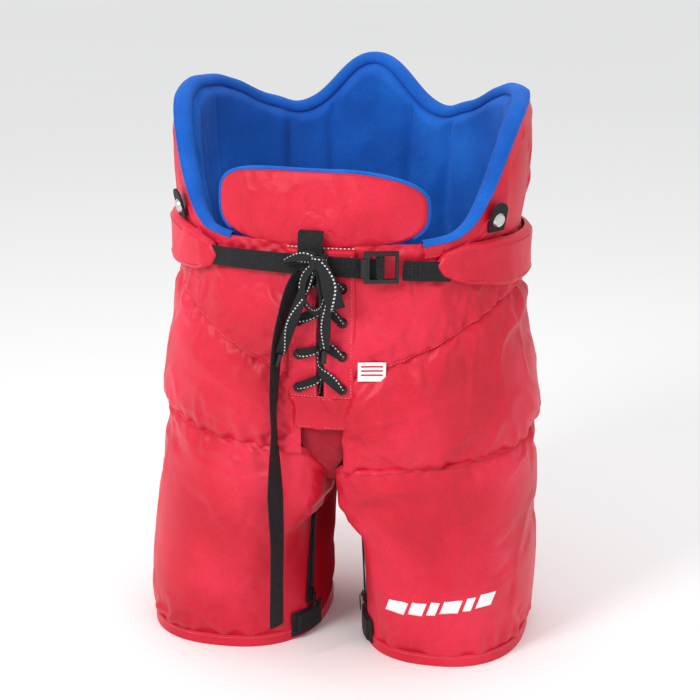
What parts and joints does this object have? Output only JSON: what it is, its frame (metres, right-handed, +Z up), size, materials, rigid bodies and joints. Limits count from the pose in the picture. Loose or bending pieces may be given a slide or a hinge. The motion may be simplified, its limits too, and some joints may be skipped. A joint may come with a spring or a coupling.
{
  "type": "hockey pants",
  "caption": "Padded ice hockey pants with tall hip and spine guards, laced fly, buckled belt, fold-up front flap and zipped legs that flex at the hips.",
  "frame": {"origin": "on the floor under the middle of the whole box, where the two hems stand", "axes": "+X towards the wearer's left, -Y to the front, +Z up"},
  "size_m": [0.4112, 0.3097, 0.6],
  "materials": {
    "red_nylon": "satin ripstop-free nylon",
    "blue_liner": "brushed knit",
    "royal_lining": "satin nylon",
    "foam": "closed-cell foam",
    "plate": "moulded polyethylene",
    "lace": "flat waxed lace with a light tracer",
    "aglet": "clear-black tip",
    "webbing": "ribbed webbing",
    "buckle": "moulded acetal",
    "eyelet": "black enamel",
    "snap": "nickel plate",
    "zip": "coil zip tape",
    "zip_metal": "black enamel",
    "hook": "hook and loop",
    "label": "woven label",
    "gusset": "stretch knit"
  },
  "bodies": {
    "pelvis": {"seat_shell": "red_nylon", "rim_shell": "red_nylon", "crotch_gusset": "gusset", "thigh_panel_right": "red_nylon", "thigh_panel_left": "red_nylon", "waist_liner": "blue_liner", "spine_pad": "foam", "spine_plate": "plate", "kidney_pad_right": "foam", "kidney_pad_left": "foam", "hip_guard_right": "foam", "hip_guard_left": "foam", "hip_plate_right": "plate", "hip_plate_left": "plate", "hip_crescent_right": "blue_liner", "hip_crescent_left": "blue_liner", "tailbone_pad": "foam", "fly_placket_right": "red_nylon", "fly_placket_left": "red_nylon", "fly_tongue": "royal_lining", "eyelets": "eyelet", "fly_lace": "lace", "lace_bow": "lace", "lace_tail_right": "lace", "lace_tail_left": "lace", "aglet_right": "aglet", "aglet_left": "aglet", "belt_wing_right": "red_nylon", "belt_wing_left": "red_nylon", "belt_strap_right": "webbing", "belt_strap_left": "webbing", "belt_keeper": "webbing", "belt_tail": "webbing", "side_label": "label"},
    "right_leg": {"thigh_shell_right": "red_nylon", "leg_liner_right": "royal_lining", "thigh_guard_right": "foam", "thigh_plate_right": "plate", "leg_zip_right": "zip"},
    "left_leg": {"thigh_shell_left": "red_nylon", "leg_liner_left": "royal_lining", "thigh_guard_left": "foam", "thigh_plate_left": "plate", "leg_zip_left": "zip"},
    "front_flap": {"flap_cover": "red_nylon", "flap_lining": "blue_liner"},
    "buckle_frame": {"buckle": "buckle", "buckle_webbing": "webbing"},
    "snap_tab_right": {"snap_tab_right": "webbing", "snap_cap_right": "snap"},
    "zip_slider_right": {"zip_slider_right": "zip_metal"},
    "zip_pull_right": {"zip_pull_right": "zip_metal"},
    "hem_tab_right": {"hem_tab_right": "hook"},
    "snap_tab_left": {"snap_tab_left": "webbing", "snap_cap_left": "snap"},
    "zip_slider_left": {"zip_slider_left": "zip_metal"},
    "zip_pull_left": {"zip_pull_left": "zip_metal"},
    "hem_tab_left": {"hem_tab_left": "hook"}
  },
  "joints": [
    {"name": "hip_flex_right", "type": "hinge", "parent": "pelvis", "child": "right_leg", "pos_m": [0.00845, 0.00403, 0.365], "axis": [-1, 0, 0], "range_deg": [-12, 22], "deforming": ["thigh_panel_right", "belt_tail"]},
    {"name": "hip_flex_left", "type": "hinge", "parent": "pelvis", "child": "left_leg", "pos_m": [0.00845, 0.00403, 0.365], "axis": [-1, 0, 0], "range_deg": [-12, 22], "deforming": ["thigh_panel_left"]},
    {"name": "flap_fold", "type": "hinge", "parent": "pelvis", "child": "front_flap", "pos_m": [0.00845, -0.12297, 0.455], "axis": [1, 0, 0], "range_deg": [-8, 16]},
    {"name": "buckle_tilt", "type": "hinge", "parent": "pelvis", "child": "buckle_frame", "pos_m": [0.08315, -0.12985, 0.431], "axis": [0, 0, 1], "range_deg": [0, 40]},
    {"name": "snap_tab_right_fold", "type": "hinge", "parent": "pelvis", "child": "snap_tab_right", "pos_m": [-0.15155, -0.06049, 0.455], "axis": [0.57, -0.8217, 0], "range_deg": [0, 60]},
    {"name": "snap_tab_left_fold", "type": "hinge", "parent": "pelvis", "child": "snap_tab_left", "pos_m": [0.16845, -0.06049, 0.455], "axis": [0.57, 0.8217, 0], "range_deg": [0, 60]},
    {"name": "zip_right_slide", "type": "slide", "parent": "right_leg", "child": "zip_slider_right", "axis": [0.0547, -0.0039, 0.9985], "range_m": [0, 0.084]},
    {"name": "zip_pull_right_swing", "type": "hinge", "parent": "zip_slider_right", "child": "zip_pull_right", "pos_m": [-0.01865, -0.05578, 0.04772], "axis": [-0.343, -0.9392, 0.0151], "range_deg": [0, 50]},
    {"name": "zip_left_slide", "type": "slide", "parent": "left_leg", "child": "zip_slider_left", "axis": [-0.0363, -0.0282, 0.9989], "range_m": [0, 0.084]},
    {"name": "zip_pull_left_swing", "type": "hinge", "parent": "zip_slider_left", "child": "zip_pull_left", "pos_m": [0.03242, -0.05146, 0.04777], "axis": [-0.2756, 0.9611, 0.0171], "range_deg": [0, 50]},
    {"name": "hem_tab_right_open", "type": "hinge", "parent": "right_leg", "child": "hem_tab_right", "pos_m": [-0.01752, -0.03528, 0.017], "axis": [0, 0, 1], "range_deg": [0, 50]},
    {"name": "hem_tab_left_open", "type": "hinge", "parent": "left_leg", "child": "hem_tab_left", "pos_m": [0.03227, -0.03038, 0.017], "axis": [0, 0, -1], "range_deg": [0, 50]}
  ]
}
